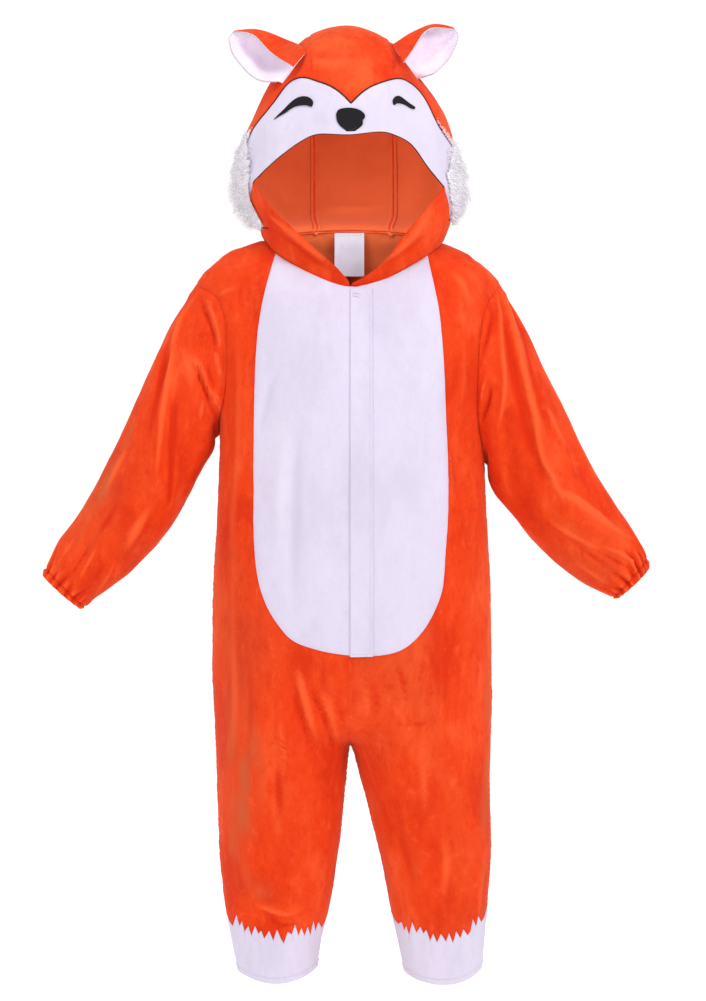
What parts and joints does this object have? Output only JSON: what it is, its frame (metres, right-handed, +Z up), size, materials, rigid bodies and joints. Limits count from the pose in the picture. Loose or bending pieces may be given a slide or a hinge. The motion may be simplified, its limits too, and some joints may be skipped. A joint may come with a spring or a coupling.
{
  "type": "fox onesie",
  "caption": "Child's one-piece hooded fox costume in worn, hollow form: velour body, sleeves and legs, white belly, fur-edged face on the hood, curled ears.",
  "frame": {"origin": "between the wearer's shoulders, in the plane of the side seams, 10 mm below the corners where the shoulder seams meet the neck seam", "axes": "+Z up along the garment, +X towards the wearer's left, +Y towards the wearer's back"},
  "size_m": [0.6901, 0.2256, 1.0935],
  "materials": {
    "orange_velour": "short-pile velour with a soft directional nap",
    "white_velour": "matt short-pile white velour",
    "white_fur": "long soft faux-fur pile",
    "black_applique": "flat black applique with a slight sheen",
    "label_tape": "bare white woven tape"
  },
  "bodies": {
    "root": {"back_left": "orange_velour", "back_right": "orange_velour", "belly_left": "white_velour", "belly_right": "white_velour", "care_label": "label_tape", "ear_back_left": "orange_velour", "ear_back_right": "orange_velour", "ear_inner_left": "white_velour", "ear_inner_right": "white_velour", "eye_left": "black_applique", "eye_right": "black_applique", "face_mask": "white_velour", "front_left": "orange_velour", "front_right": "orange_velour", "fur_left": "white_fur", "fur_right": "white_fur", "hood_center": "orange_velour", "hood_side_left": "orange_velour", "hood_side_right": "orange_velour", "leg_cuff_left": "white_velour", "leg_cuff_right": "white_velour", "nose": "black_applique", "placket": "white_velour", "sleeve_left": "orange_velour", "sleeve_right": "orange_velour"}
  },
  "joints": []
}
